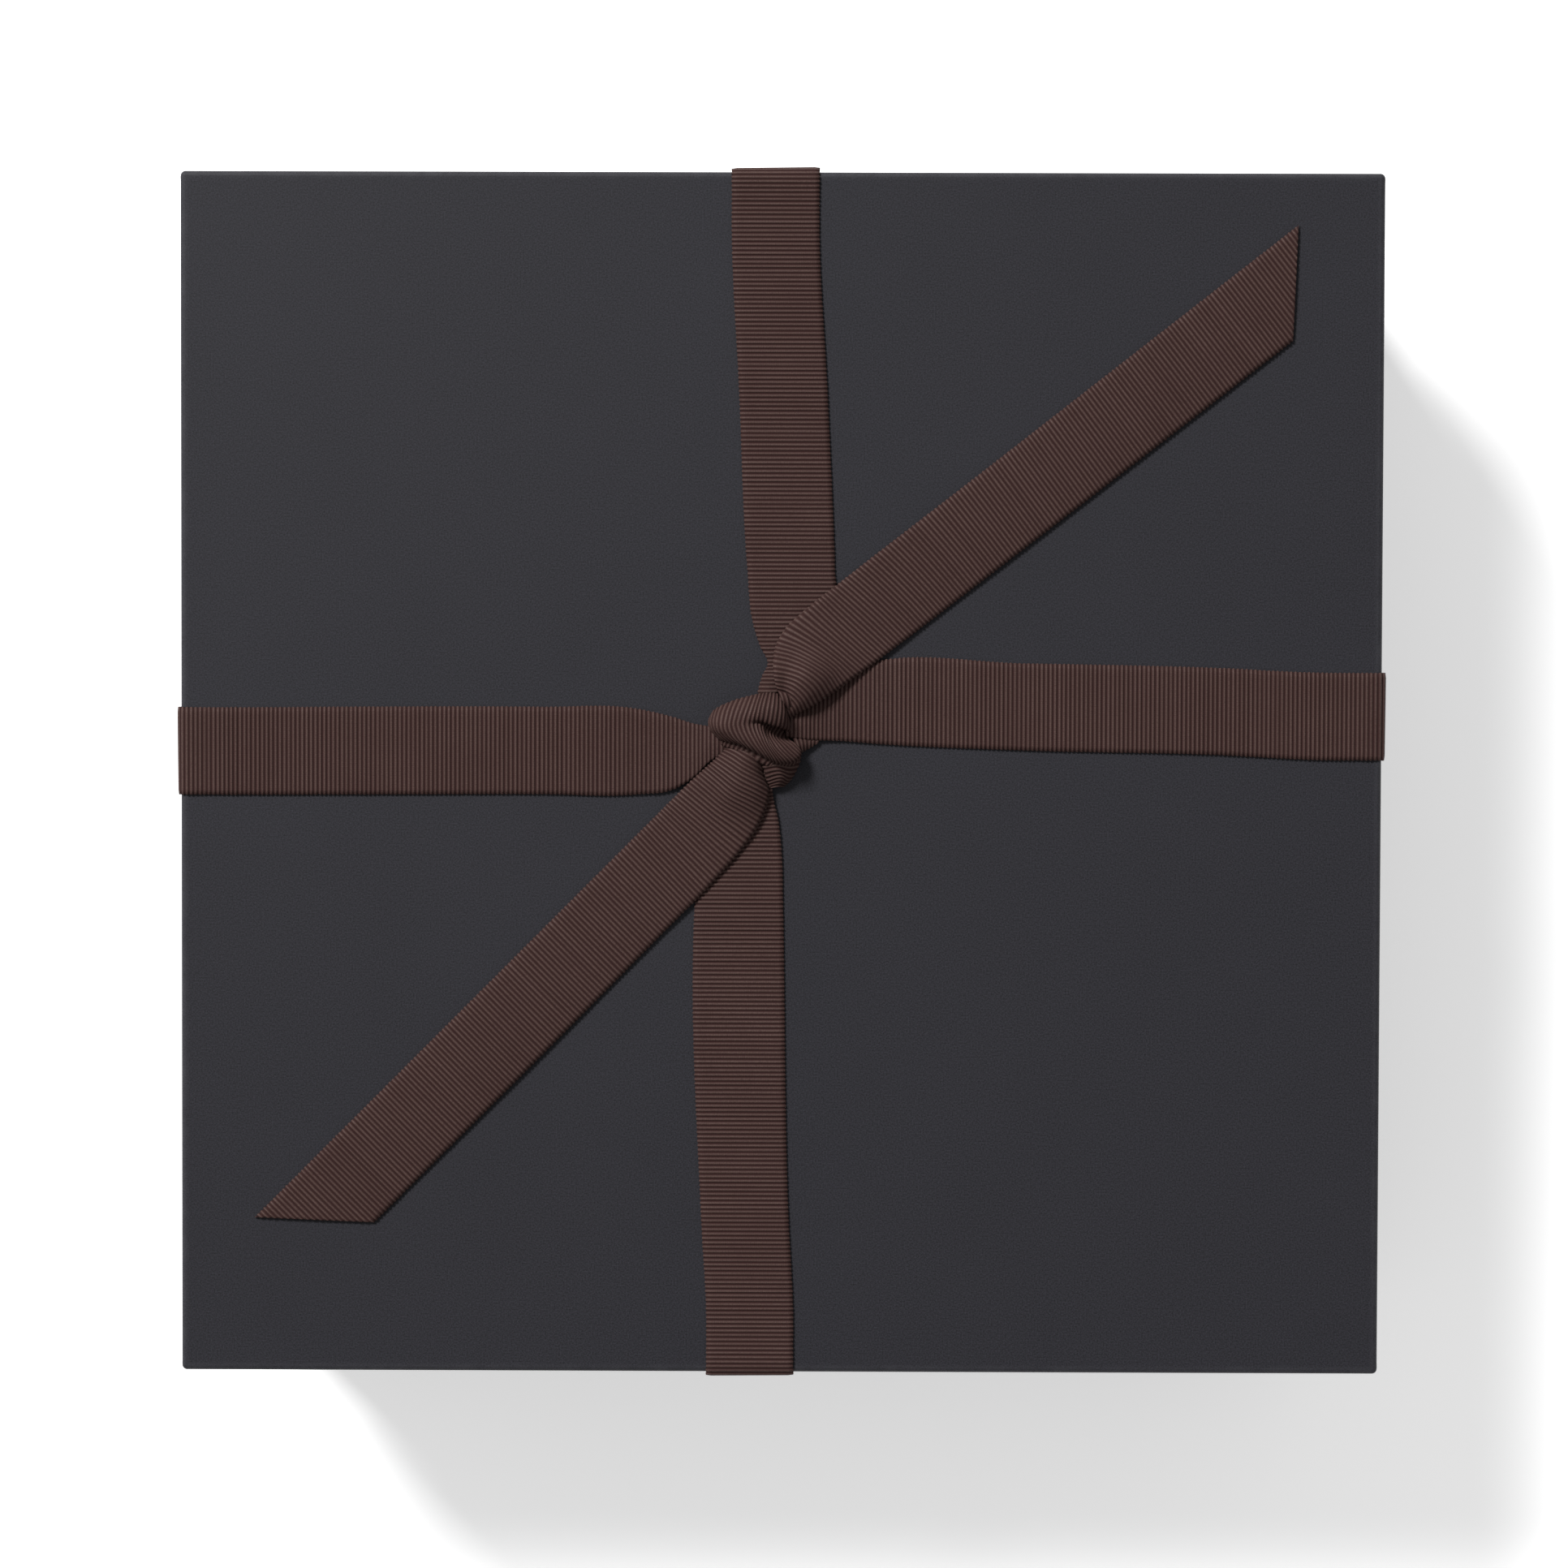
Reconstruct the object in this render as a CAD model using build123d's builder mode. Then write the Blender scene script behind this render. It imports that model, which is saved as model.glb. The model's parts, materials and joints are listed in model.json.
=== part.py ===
from build123d import *
import os
from math import cos, radians, sin

# A rigid two-piece gift box. Greyboard trays are covered in soft matt paper, and the deep-edged lid
# drops over the base. A ribbon crosses the lid, is tied once in the middle with two loose tails, and
# its four arms turn under the lid's rim and are taped inside, so the lid lifts off with the ribbon on.
# Frame: millimetres, origin under the middle of the box on the surface it stands on, +Z up,
# +X to the right and +Y to the back.

# Overall sizes
lid_width = 300.0
lid_depth = 300.0
box_height = 100.0
lid_height = 40.0

# Sheet materials
board = 2.0
wrap_paper = 0.25
lining_paper = 0.2
stay_tape = 0.2
edge_round = 1.0

# How the paper is laid
inner_turn_in = 15.0
bottom_turn_in = 16.0
bottom_sheet_inset = 3.0
stay_flange = 22.0

# Fits
running_gap = 0.4
lid_rest_gap = 0.3
glue_line = 0.05

# Ribbon
ribbon_width = 22.0
ribbon_thickness = 0.5
ribbon_neck = 10.0
neck_run = 18.0
ribbon_tab = 18.0

# Tape over the ribbon's ends
tape_thickness = 0.15
tape_overlap = 6.0
tape_rise = 1.0

# Knot
knot_x = -6.0
knot_y = 9.0
knot_turn = -23.0
knot_length = 20.0
knot_depth = 18.0
knot_height = 8.0
knot_round = 3.0
knot_band = 12.0

# Tails: root on the lid, heading, length of the long edge, how far the slant cut runs back
tail_neck = 12.0
front_tail_root = (-9.5, -4.5)
front_tail_heading = 225.7
front_tail_length = 163.0
front_tail_cut = 20.2
back_tail_root = (-3.0, 20.1)
back_tail_heading = 38.1
back_tail_length = 175.0
back_tail_cut = 18.6

# Lid, from the outside inwards and from the top down
lid_rim = box_height - lid_height
lid_board_width = lid_width - 2 * wrap_paper
lid_board_depth = lid_depth - 2 * wrap_paper
lid_wall_width = lid_board_width - 2 * stay_tape
lid_wall_depth = lid_board_depth - 2 * stay_tape
lid_hollow_width = lid_wall_width - 2 * board
lid_hollow_depth = lid_wall_depth - 2 * board
lid_board_top = box_height - wrap_paper
lid_wall_top = lid_board_top - board
lid_wall_bottom = lid_rim + wrap_paper
lid_turn_in_top = lid_rim + inner_turn_in
stay_round = edge_round - stay_tape

# What the ribbon's end and its tape add inside the lid's wall
tab_face = wrap_paper + glue_line
tape_face = tab_face + ribbon_thickness + glue_line
tab_build = tape_face + tape_thickness

# Base, sized to slide inside the lid past the taped ribbon
base_width = lid_hollow_width - 2 * (tab_build + running_gap)
base_depth = lid_hollow_depth - 2 * (tab_build + running_gap)
base_top = lid_wall_top - lining_paper - lid_rest_gap
base_board_width = base_width - 2 * wrap_paper
base_board_depth = base_depth - 2 * wrap_paper
base_wall_width = base_board_width - 2 * stay_tape
base_wall_depth = base_board_depth - 2 * stay_tape
base_hollow_width = base_wall_width - 2 * board
base_hollow_depth = base_wall_depth - 2 * board
base_wrap_bottom = wrap_paper
base_board_bottom = base_wrap_bottom + wrap_paper
base_wall_bottom = base_board_bottom + board
base_wall_top = base_top - wrap_paper
base_turn_in_bottom = base_top - inner_turn_in

# Ribbon levels
arm_bottom = box_height + glue_line
tail_bottom = arm_bottom + ribbon_thickness + glue_line
knot_core_bottom = tail_bottom + ribbon_thickness + glue_line
knot_core_middle = knot_core_bottom + knot_height / 2


def write_step(solid, name):
    """Label one sub-part and write it to its own file."""
    solid.label = name
    export_step(solid, "parts/" + name + ".step")


def upright_block(width, depth, bottom, top, radius):
    """A block on the Z axis whose four upright edges are rounded."""
    with BuildPart() as block:
        with BuildSketch(Plane.XY.offset(bottom)):
            RectangleRounded(width, depth, radius)
        extrude(amount=top - bottom)
    return block.part


def lid_block(width, depth, bottom, top, radius):
    """A block whose upright edges and top edges are rounded."""
    with BuildPart() as block:
        with BuildSketch(Plane.XY.offset(bottom)):
            Rectangle(width, depth)
        extrude(amount=top - bottom)
        fillet(block.edges().filter_by(Axis.Z) + block.faces().sort_by(Axis.Z)[-1].edges(), radius)
    return block.part


def ring(width, depth, thickness, bottom, top):
    """A four-sided paper strip, standing on edge."""
    with BuildPart() as strip:
        with BuildSketch(Plane.XY.offset(bottom)):
            Rectangle(width, depth)
            Rectangle(width - 2 * thickness, depth - 2 * thickness, mode=Mode.SUBTRACT)
        extrude(amount=top - bottom)
    return strip.part


def panel(width, depth, bottom, thickness):
    """A flat sheet on the Z axis."""
    with BuildPart() as sheet:
        with BuildSketch(Plane.XY.offset(bottom)):
            Rectangle(width, depth)
        extrude(amount=thickness)
    return sheet.part


def write_walls(tray, width, depth, bottom, top):
    """Front and back walls run the full width; left and right walls stand between them."""
    for name, side in (("front", -1), ("back", 1)):
        with BuildPart() as wall:
            with BuildSketch(Plane.XY.offset(bottom)):
                with Locations((0, side * (depth - board) / 2)):
                    Rectangle(width, board)
            extrude(amount=top - bottom)
            outer_face = wall.faces().sort_by(Axis.Y)[-1 if side > 0 else 0]
            fillet(outer_face.edges().filter_by(Axis.Z), stay_round)
        write_step(wall.part, tray + "_wall_" + name)
    for name, side in (("left", -1), ("right", 1)):
        with BuildPart() as wall:
            with BuildSketch(Plane.XY.offset(bottom)):
                with Locations((side * (width - board) / 2, 0)):
                    Rectangle(board, depth - 2 * board)
            extrude(amount=top - bottom)
        write_step(wall.part, tray + "_wall_" + name)


def write_stays(tray, width, depth, bottom, top):
    """Four strips of tape, each folded round one upright corner of the board."""
    with BuildPart() as stays:
        with BuildSketch(Plane.XY.offset(bottom)):
            RectangleRounded(width + 2 * stay_tape, depth + 2 * stay_tape, edge_round)
            RectangleRounded(width, depth, stay_round, mode=Mode.SUBTRACT)
            Rectangle(width - 2 * stay_flange, depth + 2 * board, mode=Mode.SUBTRACT)
            Rectangle(width + 2 * board, depth - 2 * stay_flange, mode=Mode.SUBTRACT)
        extrude(amount=top - bottom)
    write_step(stays.part, tray + "_corner_stays")


def write_base():
    """The lower tray: board, corner tape, outside wrap, underside sheet and lining."""
    floor = upright_block(base_board_width, base_board_depth, base_board_bottom, base_wall_bottom, edge_round)
    write_step(floor, "base_floor_board")
    write_walls("base", base_wall_width, base_wall_depth, base_wall_bottom, base_wall_top)
    write_stays("base", base_wall_width, base_wall_depth, base_wall_bottom, base_wall_top)

    covered = upright_block(base_board_width, base_board_depth, base_board_bottom, base_wall_top, edge_round)
    outside = upright_block(base_width, base_depth, base_wrap_bottom, base_top, edge_round + wrap_paper)
    with BuildPart() as wrap:
        add(outside)
        add(covered, mode=Mode.SUBTRACT)
        with BuildSketch(Plane.XY.offset(base_wrap_bottom)):
            Rectangle(base_width - 2 * bottom_turn_in, base_depth - 2 * bottom_turn_in)
        extrude(amount=wrap_paper, mode=Mode.SUBTRACT)
        with BuildSketch(Plane.XY.offset(base_wall_top)):
            Rectangle(base_hollow_width - 2 * wrap_paper, base_hollow_depth - 2 * wrap_paper)
        extrude(amount=wrap_paper, mode=Mode.SUBTRACT)
        add(ring(base_hollow_width, base_hollow_depth, wrap_paper, base_turn_in_bottom, base_wall_top))
    write_step(wrap.part, "base_wrap")

    sheet_width = base_width - 2 * bottom_sheet_inset
    sheet_depth = base_depth - 2 * bottom_sheet_inset
    write_step(panel(sheet_width, sheet_depth, 0, base_wrap_bottom), "base_bottom_sheet")

    lining = ring(base_hollow_width, base_hollow_depth, lining_paper, base_wall_bottom, base_turn_in_bottom)
    write_step(lining, "base_wall_lining")
    floor_width = base_hollow_width - 2 * lining_paper
    floor_depth = base_hollow_depth - 2 * lining_paper
    write_step(panel(floor_width, floor_depth, base_wall_bottom, lining_paper), "base_floor_lining")


def write_lid():
    """The upper tray, covered by one sheet that turns in under its rim."""
    top = lid_block(lid_board_width, lid_board_depth, lid_wall_top, lid_board_top, edge_round)
    write_step(top, "lid_top_board")
    write_walls("lid", lid_wall_width, lid_wall_depth, lid_wall_bottom, lid_wall_top)
    write_stays("lid", lid_wall_width, lid_wall_depth, lid_wall_bottom, lid_wall_top)

    covered = lid_block(lid_board_width, lid_board_depth, lid_wall_bottom, lid_board_top, edge_round)
    outside = lid_block(lid_width, lid_depth, lid_rim, box_height, edge_round + wrap_paper)
    with BuildPart() as wrap:
        add(outside)
        add(covered, mode=Mode.SUBTRACT)
        with BuildSketch(Plane.XY.offset(lid_rim)):
            Rectangle(lid_hollow_width - 2 * wrap_paper, lid_hollow_depth - 2 * wrap_paper)
        extrude(amount=wrap_paper, mode=Mode.SUBTRACT)
        add(ring(lid_hollow_width, lid_hollow_depth, wrap_paper, lid_wall_bottom, lid_turn_in_top))
    write_step(wrap.part, "lid_wrap")

    with BuildPart() as lining:
        add(panel(lid_hollow_width, lid_hollow_depth, lid_turn_in_top, lid_wall_top - lid_turn_in_top))
        hollow_top = lid_wall_top - lining_paper
        hollow_width = lid_hollow_width - 2 * lining_paper
        hollow_depth = lid_hollow_depth - 2 * lining_paper
        add(panel(hollow_width, hollow_depth, lid_turn_in_top, hollow_top - lid_turn_in_top), mode=Mode.SUBTRACT)
    write_step(lining.part, "lid_lining")


def write_arm(name, turn, lid_half, hollow_half, start, across_knot, across_edge):
    """One ribbon arm: from the knot over the lid's edge, down the skirt, under the rim and up inside.

    It is drawn as if it ran along +X, with Y across it, and then turned into place.
    """
    middle_level = arm_bottom + ribbon_thickness / 2
    skirt = lid_half + glue_line + ribbon_thickness / 2
    under = lid_rim - glue_line - ribbon_thickness / 2
    tab = hollow_half - tab_face - ribbon_thickness / 2
    bend = edge_round + wrap_paper + glue_line + ribbon_thickness / 2
    fold = glue_line + ribbon_thickness / 2
    with BuildPart() as arm:
        with BuildSketch(Plane.XZ):
            with BuildLine():
                FilletPolyline(
                    (start, middle_level),
                    (skirt, middle_level),
                    (skirt, under),
                    (tab, under),
                    (tab, lid_rim + ribbon_tab),
                    radius=[bend, fold, fold],
                )
            trace(line_width=ribbon_thickness)
        extrude(amount=2 * ribbon_width, both=True)
        shoulder = start + neck_run
        slope = (across_edge - across_knot) / (lid_half - start)
        across_shoulder = across_knot + slope * neck_run
        end = lid_half + board
        across_end = across_knot + slope * (end - start)
        with BuildSketch(Plane.XY.offset(lid_rim - board)):
            with BuildLine():
                Polyline(
                    (start, across_knot - ribbon_neck / 2),
                    (shoulder, across_shoulder - ribbon_width / 2),
                    (end, across_end - ribbon_width / 2),
                    (end, across_end + ribbon_width / 2),
                    (shoulder, across_shoulder + ribbon_width / 2),
                    (start, across_knot + ribbon_neck / 2),
                    close=True,
                )
            make_face()
        extrude(amount=lid_height + 2 * board, mode=Mode.INTERSECT)
    write_step(arm.part.rotate(Axis.Z, turn), "ribbon_arm_" + name)


def write_tape(arms):
    """A patch of tape over each ribbon end, on the inside of the lid's wall."""
    patch_width = ribbon_width + 2 * tape_overlap
    patch_height = ribbon_tab + tape_overlap
    with BuildPart() as tape:
        for _, turn, _, hollow_half, _, _, across_edge in arms:
            corner = Vector(hollow_half - tape_face - tape_thickness, across_edge, lid_rim + tape_rise)
            origin = corner.rotate(Axis.Z, turn)
            along = Vector(0, 1, 0).rotate(Axis.Z, turn)
            outward = Vector(1, 0, 0).rotate(Axis.Z, turn)
            with BuildSketch(Plane(origin=origin, x_dir=along, z_dir=outward)):
                Rectangle(patch_width, patch_height, align=(Align.CENTER, Align.MIN))
            extrude(amount=tape_thickness)
    write_step(tape.part, "ribbon_tape_patches")


def write_tail(name, root, heading, length, cut):
    """A loose tail lying on the lid: a narrow root at the knot, straight edges and a slant-cut end."""
    place = Plane(origin=(root[0], root[1], tail_bottom), x_dir=(cos(radians(heading)), sin(radians(heading)), 0))
    half = ribbon_width / 2
    long_side = -1 if name == "front_left" else 1
    with BuildPart() as tail:
        with BuildSketch(place):
            with BuildLine():
                Polyline(
                    (0, -long_side * tail_neck / 2),
                    (neck_run, -long_side * half),
                    (length - cut, -long_side * half),
                    (length, long_side * half),
                    (neck_run, long_side * half),
                    (0, long_side * tail_neck / 2),
                    close=True,
                )
            make_face()
        extrude(amount=ribbon_thickness)
    write_step(tail.part, "ribbon_tail_" + name)


def write_knot():
    """The knot: a rounded core of gathered ribbon and one band drawn tight round it."""
    along = (cos(radians(knot_turn)), sin(radians(knot_turn)), 0)
    with BuildPart() as core:
        with BuildSketch(Plane(origin=(knot_x, knot_y, knot_core_bottom), x_dir=along)):
            RectangleRounded(knot_length, knot_depth, knot_round + 1)
        extrude(amount=knot_height)
        flat_faces = core.faces().filter_by(Axis.Z)
        fillet(flat_faces.edges(), knot_round)
    write_step(core.part, "ribbon_knot_core")

    sideways = (-sin(radians(knot_turn)), cos(radians(knot_turn)), 0)
    inner_length = knot_length + 2 * glue_line
    inner_height = knot_height + 2 * glue_line
    inner_round = knot_round + glue_line
    with BuildPart() as band:
        with BuildSketch(Plane(origin=(knot_x, knot_y, knot_core_middle), x_dir=along, z_dir=sideways)):
            outer_round = inner_round + ribbon_thickness
            RectangleRounded(inner_length + 2 * ribbon_thickness, inner_height + 2 * ribbon_thickness, outer_round)
            RectangleRounded(inner_length, inner_height, inner_round, mode=Mode.SUBTRACT)
        extrude(amount=knot_band / 2, both=True)
    write_step(band.part, "ribbon_knot_band")


def main():
    """Build every sub-part and write one file for each."""
    os.makedirs("parts", exist_ok=True)
    half_width = lid_width / 2
    half_depth = lid_depth / 2
    hollow_x = lid_hollow_width / 2
    hollow_y = lid_hollow_depth / 2
    # name, turn about Z, lid half, hollow half, start from the middle, offset at the knot, offset at the edge
    arms = [
        ("right", 0, half_width, hollow_x, 5.0, 17.8, 14.8),
        ("back", 90, half_depth, hollow_y, 30.0, -2.6, 1.7),
        ("left", 180, half_width, hollow_x, 17.0, -6.0, -5.5),
        ("front", 270, half_depth, hollow_y, 5.0, -10.4, -7.5),
    ]
    write_base()
    write_lid()
    for arm in arms:
        write_arm(*arm)
    write_tape(arms)
    write_tail("front_left", front_tail_root, front_tail_heading, front_tail_length, front_tail_cut)
    write_tail("back_right", back_tail_root, back_tail_heading, back_tail_length, back_tail_cut)
    write_knot()


main()
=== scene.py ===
import json
import math

import bmesh
import bpy
import numpy as np
from mathutils import Matrix, Vector


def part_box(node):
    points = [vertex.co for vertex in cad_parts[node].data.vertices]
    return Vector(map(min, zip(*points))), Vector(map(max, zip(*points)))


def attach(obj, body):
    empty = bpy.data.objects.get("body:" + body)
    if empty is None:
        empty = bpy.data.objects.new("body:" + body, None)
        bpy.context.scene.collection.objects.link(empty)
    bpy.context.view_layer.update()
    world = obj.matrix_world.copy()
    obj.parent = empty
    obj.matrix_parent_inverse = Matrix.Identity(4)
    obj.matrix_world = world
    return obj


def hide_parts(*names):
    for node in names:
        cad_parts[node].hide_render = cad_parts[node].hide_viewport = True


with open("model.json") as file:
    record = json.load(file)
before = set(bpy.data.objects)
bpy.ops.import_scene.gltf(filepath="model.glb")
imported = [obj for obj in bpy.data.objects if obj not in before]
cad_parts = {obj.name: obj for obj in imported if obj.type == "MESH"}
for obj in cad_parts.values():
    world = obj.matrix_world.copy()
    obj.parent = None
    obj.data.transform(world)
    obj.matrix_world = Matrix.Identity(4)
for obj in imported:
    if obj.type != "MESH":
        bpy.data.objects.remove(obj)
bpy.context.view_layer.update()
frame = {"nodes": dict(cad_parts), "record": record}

bl_info = {
    "name": "Ribboned Gift Box",
    "version": (1, 0, 0),
    "blender": (4, 5, 0),
    "location": "3D View > Sidebar > Gift Box",
    "description": "Dresses a rigid gift box in matt paper and ties a ribbed ribbon over its lid",
    "category": "Object",
}

MM = 0.001

# Places taken from the fixed frame, in metres
LID_LOW, LID_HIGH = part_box("lid_wrap")
BASE_LOW, BASE_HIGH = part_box("base_wrap")
LINING_LOW, LINING_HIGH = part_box("lid_lining")
KNOT_LOW, KNOT_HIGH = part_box("ribbon_knot_core")
LID_TOP = LID_HIGH.z
LID_RIM = LID_LOW.z


# ---------------------------------------------------------------- sizes and colours


class RibbonSizes(bpy.types.PropertyGroup):
    """The ribbon's cut, weave and dye, with a painted highlight on its rib crests and painted shade in
    its grooves.
    """

    width: bpy.props.FloatProperty(
        name="Width", description="Width across the selvedges", default=0.022, unit="LENGTH"
    )
    thickness: bpy.props.FloatProperty(
        name="Thickness", description="Thickness in the grooves", default=0.00021, unit="LENGTH"
    )
    rib_pitch: bpy.props.FloatProperty(
        name="Rib pitch", description="Distance from rib to rib", default=0.00111, unit="LENGTH"
    )
    rib_relief: bpy.props.FloatProperty(
        name="Rib relief", description="Height of a rib over its groove", default=0.00027, unit="LENGTH"
    )
    # Crest colour is a painted highlight on each rib; groove colour is painted shade between the ribs
    painted_highlight_crest: bpy.props.FloatVectorProperty(
        name="Crest colour, painted highlight", description="Colour on top of the ribs, lighter as painted highlight",
        default=(0.078, 0.047, 0.0405), subtype="COLOR", size=3, min=0, max=1
    )
    painted_shade_groove: bpy.props.FloatVectorProperty(
        name="Groove colour, painted shade", description="Colour down between the ribs, darker as painted shade",
        default=(0.026, 0.0105, 0.0098), subtype="COLOR", size=3, min=0, max=1
    )


class PaperFinish(bpy.types.PropertyGroup):
    """The covering paper, its lining and the board under it."""

    cover: bpy.props.FloatVectorProperty(
        name="Cover colour", description="Soft matt covering paper",
        default=(0.0166, 0.0161, 0.0204), subtype="COLOR", size=3, min=0, max=1
    )
    # Lighter edge colour: partly rubbed wear, partly a painted highlight where the paper rounds over the
    # edges
    worn_and_highlit: bpy.props.FloatVectorProperty(
        name="Worn and highlit edge colour", description="Covering paper where its edges are rubbed, and lighter as painted highlight",
        default=(0.046, 0.0455, 0.051), subtype="COLOR", size=3, min=0, max=1
    )
    lining: bpy.props.FloatVectorProperty(
        name="Lining colour", description="Thinner paper inside both trays",
        default=(0.034, 0.0335, 0.037), subtype="COLOR", size=3, min=0, max=1
    )
    board: bpy.props.FloatVectorProperty(
        name="Board colour", description="Raw greyboard",
        default=(0.33, 0.31, 0.28), subtype="COLOR", size=3, min=0, max=1
    )


class StudioSettings(bpy.types.PropertyGroup):
    """Camera and light."""

    camera_height: bpy.props.FloatProperty(
        name="Camera height", description="Camera above the lid", default=0.9545, unit="LENGTH"
    )
    lens: bpy.props.FloatProperty(
        name="Lens", description="Focal length of the camera", default=87.76, unit="CAMERA"
    )
    key_power: bpy.props.FloatProperty(
        name="Key light", description="Power of the large soft light", default=608.0, unit="POWER"
    )
    floor: bpy.props.FloatVectorProperty(
        name="Floor colour", description="Pale floor", default=(0.9, 0.9, 0.9),
        subtype="COLOR", size=3, min=0, max=1
    )


# ---------------------------------------------------------------- shader helpers


def new_group(name, inputs, outputs):
    """An empty shader node group with its named sockets, its nodes, and its two end nodes."""
    group = bpy.data.node_groups.new(name, "ShaderNodeTree")
    for label, kind, default in inputs:
        socket = group.interface.new_socket(name=label, in_out="INPUT", socket_type=kind)
        if default is not None:
            socket.default_value = default
    for label, kind in outputs:
        group.interface.new_socket(name=label, in_out="OUTPUT", socket_type=kind)
    return group, group.nodes.new("NodeGroupInput"), group.nodes.new("NodeGroupOutput")


def join(tree, source, target):
    """Feed one socket from another socket, or set it to a plain value."""
    if isinstance(source, bpy.types.NodeSocket):
        tree.links.new(source, target)
    else:
        target.default_value = source


def math_node(tree, operation, *values, clamp=False):
    """One math node; each value is a number or a socket."""
    node = tree.nodes.new("ShaderNodeMath")
    node.operation = operation
    node.use_clamp = clamp
    for index, value in enumerate(values):
        join(tree, value, node.inputs[index])
    return node.outputs[0]


def map_range(tree, value, low, high, to_low=0.0, to_high=1.0):
    """A value rescaled from one range to another, held at both ends."""
    node = tree.nodes.new("ShaderNodeMapRange")
    for index, item in enumerate((value, low, high, to_low, to_high)):
        join(tree, item, node.inputs[index])
    return node.outputs[0]


def mix_colour(tree, factor, first, second, blend="MIX"):
    """Two colours mixed by a mask."""
    node = tree.nodes.new("ShaderNodeMix")
    node.data_type = "RGBA"
    node.blend_type = blend
    join(tree, factor, node.inputs["Factor"])
    join(tree, first, node.inputs["A"])
    join(tree, second, node.inputs["B"])
    return node.outputs["Result"]


def noise(tree, vector, scale, detail=2.0, roughness=0.5):
    """The value of a noise texture at a number of cells per metre."""
    node = tree.nodes.new("ShaderNodeTexNoise")
    join(tree, vector, node.inputs["Vector"])
    join(tree, scale, node.inputs["Scale"])
    node.inputs["Detail"].default_value = detail
    node.inputs["Roughness"].default_value = roughness
    return node.outputs["Fac"]


def colour4(colour):
    """A property's colour with its alpha."""
    return (colour[0], colour[1], colour[2], 1.0)


# ---------------------------------------------------------------- shared effects


DUST_COLOUR = (0.4, 0.4, 0.4, 1)


def paper_grain_group():
    """Fibre mottling, fine tooth and a few specks of dust, from a position in metres."""
    group, start, end = new_group(
        "Paper grain",
        [
            ("Vector", "NodeSocketVector", None),
            ("Colour", "NodeSocketColor", (0.04, 0.04, 0.04, 1)),
            ("Mottle", "NodeSocketFloat", 0.2),
            ("Tooth scale", "NodeSocketFloat", 2600.0),
            ("Dust", "NodeSocketFloat", 1.0),
            ("Roughness", "NodeSocketFloat", 0.6),
        ],
        [("Colour", "NodeSocketColor"), ("Height", "NodeSocketFloat"), ("Roughness", "NodeSocketFloat")],
    )
    place = start.outputs["Vector"]
    cloud = noise(group, place, 26.0, 3.0, 0.6)
    fibre = noise(group, place, 900.0, 3.0, 0.7)
    tooth = noise(group, place, start.outputs["Tooth scale"], 2.0, 0.6)
    clouded = math_node(group, "MULTIPLY", cloud, 0.55)
    spread = math_node(group, "MULTIPLY_ADD", fibre, 0.45, clouded)
    off_middle = math_node(group, "SUBTRACT", spread, 0.5)
    swing = math_node(group, "MULTIPLY", off_middle, start.outputs["Mottle"])
    speckle = math_node(group, "MULTIPLY", math_node(group, "SUBTRACT", tooth, 0.5), 2.5)
    shade = math_node(group, "ADD", math_node(group, "ADD", swing, speckle), 1.0)
    tinted = group.nodes.new("ShaderNodeVectorMath")
    tinted.operation = "SCALE"
    join(group, start.outputs["Colour"], tinted.inputs[0])
    join(group, shade, tinted.inputs["Scale"])

    dust = group.nodes.new("ShaderNodeTexVoronoi")
    dust.inputs["Scale"].default_value = 42.0
    join(group, place, dust.inputs["Vector"])
    chosen = group.nodes.new("ShaderNodeSeparateColor")
    join(group, dust.outputs["Color"], chosen.inputs[0])
    size = math_node(group, "MULTIPLY", chosen.outputs["Green"], 0.009)
    near = math_node(group, "LESS_THAN", dust.outputs["Distance"], size)
    kept = math_node(group, "GREATER_THAN", chosen.outputs["Red"], 0.72)
    speck = math_node(group, "MULTIPLY", math_node(group, "MULTIPLY", near, kept), start.outputs["Dust"])
    dusted = math_node(group, "MULTIPLY", speck, 0.55)
    dusty = mix_colour(group, dusted, tinted.outputs[0], DUST_COLOUR)

    join(group, dusty, end.inputs["Colour"])
    toothed = math_node(group, "MULTIPLY", tooth, 0.6)
    join(group, math_node(group, "MULTIPLY_ADD", fibre, 0.5, toothed), end.inputs["Height"])
    rough = math_node(group, "MULTIPLY_ADD", swing, 0.25, start.outputs["Roughness"])
    join(group, rough, end.inputs["Roughness"])
    return group


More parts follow.
